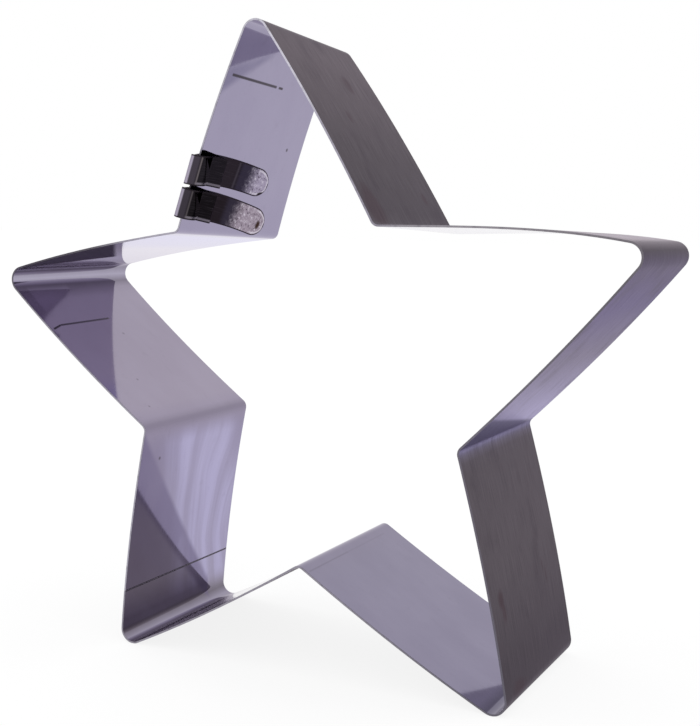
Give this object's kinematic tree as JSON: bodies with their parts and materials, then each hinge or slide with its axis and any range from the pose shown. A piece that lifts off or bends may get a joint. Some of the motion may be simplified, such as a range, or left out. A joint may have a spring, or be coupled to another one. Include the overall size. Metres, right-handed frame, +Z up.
{
  "type": "star cake ring",
  "caption": "Five-pointed star ring of bent steel strip, open front and back, for baking and cutting cake, with spring clips on its front rim.",
  "frame": {"origin": "on the surface the ring stands on, under the middle of its overall box", "axes": "+Y through the ring from its front rim to its back rim, +Z up to the star's top point, +X to the right seen from the front"},
  "size_m": [0.172, 0.051, 0.1612],
  "materials": {
    "steel_sheet": "polished inside, dull brushed outside",
    "spring_steel": "dark blued, worn pale at the leg tips"
  },
  "bodies": {
    "ring": {"star_band": "steel_sheet"},
    "upper_clip": {"upper_clip_loop": "spring_steel"},
    "upper_clip_inner_leg": {"upper_clip_inner_leg": "spring_steel"},
    "upper_clip_outer_leg": {"upper_clip_outer_leg": "spring_steel"},
    "lower_clip": {"lower_clip_loop": "spring_steel"},
    "lower_clip_inner_leg": {"lower_clip_inner_leg": "spring_steel"},
    "lower_clip_outer_leg": {"lower_clip_outer_leg": "spring_steel"}
  },
  "joints": [
    {"name": "upper_clip_slide", "type": "slide", "parent": "ring", "child": "upper_clip", "axis": [0.0302, -0.9966, 0.0771], "range_m": [0, 0.04]},
    {"name": "upper_clip_inner_leg_flex", "type": "hinge", "parent": "upper_clip", "child": "upper_clip_inner_leg", "pos_m": [-0.02365, -0.02233, 0.12435], "axis": [-0.3284, 0.014, -0.9444], "range_deg": [0, 6], "stiffness_Nm_per_rad": 0.8, "springref_deg": -1.72},
    {"name": "upper_clip_outer_leg_flex", "type": "hinge", "parent": "upper_clip", "child": "upper_clip_outer_leg", "pos_m": [-0.02893, -0.02235, 0.12618], "axis": [0.3284, -0.014, 0.9444], "range_deg": [0, 6], "stiffness_Nm_per_rad": 0.8, "springref_deg": -1.72},
    {"name": "lower_clip_slide", "type": "slide", "parent": "ring", "child": "lower_clip", "axis": [0.0163, -0.9981, 0.0593], "range_m": [0, 0.044]},
    {"name": "lower_clip_inner_leg_flex", "type": "hinge", "parent": "lower_clip", "child": "lower_clip_inner_leg", "pos_m": [-0.02673, -0.02236, 0.11555], "axis": [-0.3107, -0.0175, -0.9503], "range_deg": [0, 6], "stiffness_Nm_per_rad": 0.8, "springref_deg": -1.72},
    {"name": "lower_clip_outer_leg_flex", "type": "hinge", "parent": "lower_clip", "child": "lower_clip_outer_leg", "pos_m": [-0.03205, -0.02234, 0.11729], "axis": [0.3107, 0.0175, 0.9503], "range_deg": [0, 6], "stiffness_Nm_per_rad": 0.8, "springref_deg": -1.72}
  ]
}
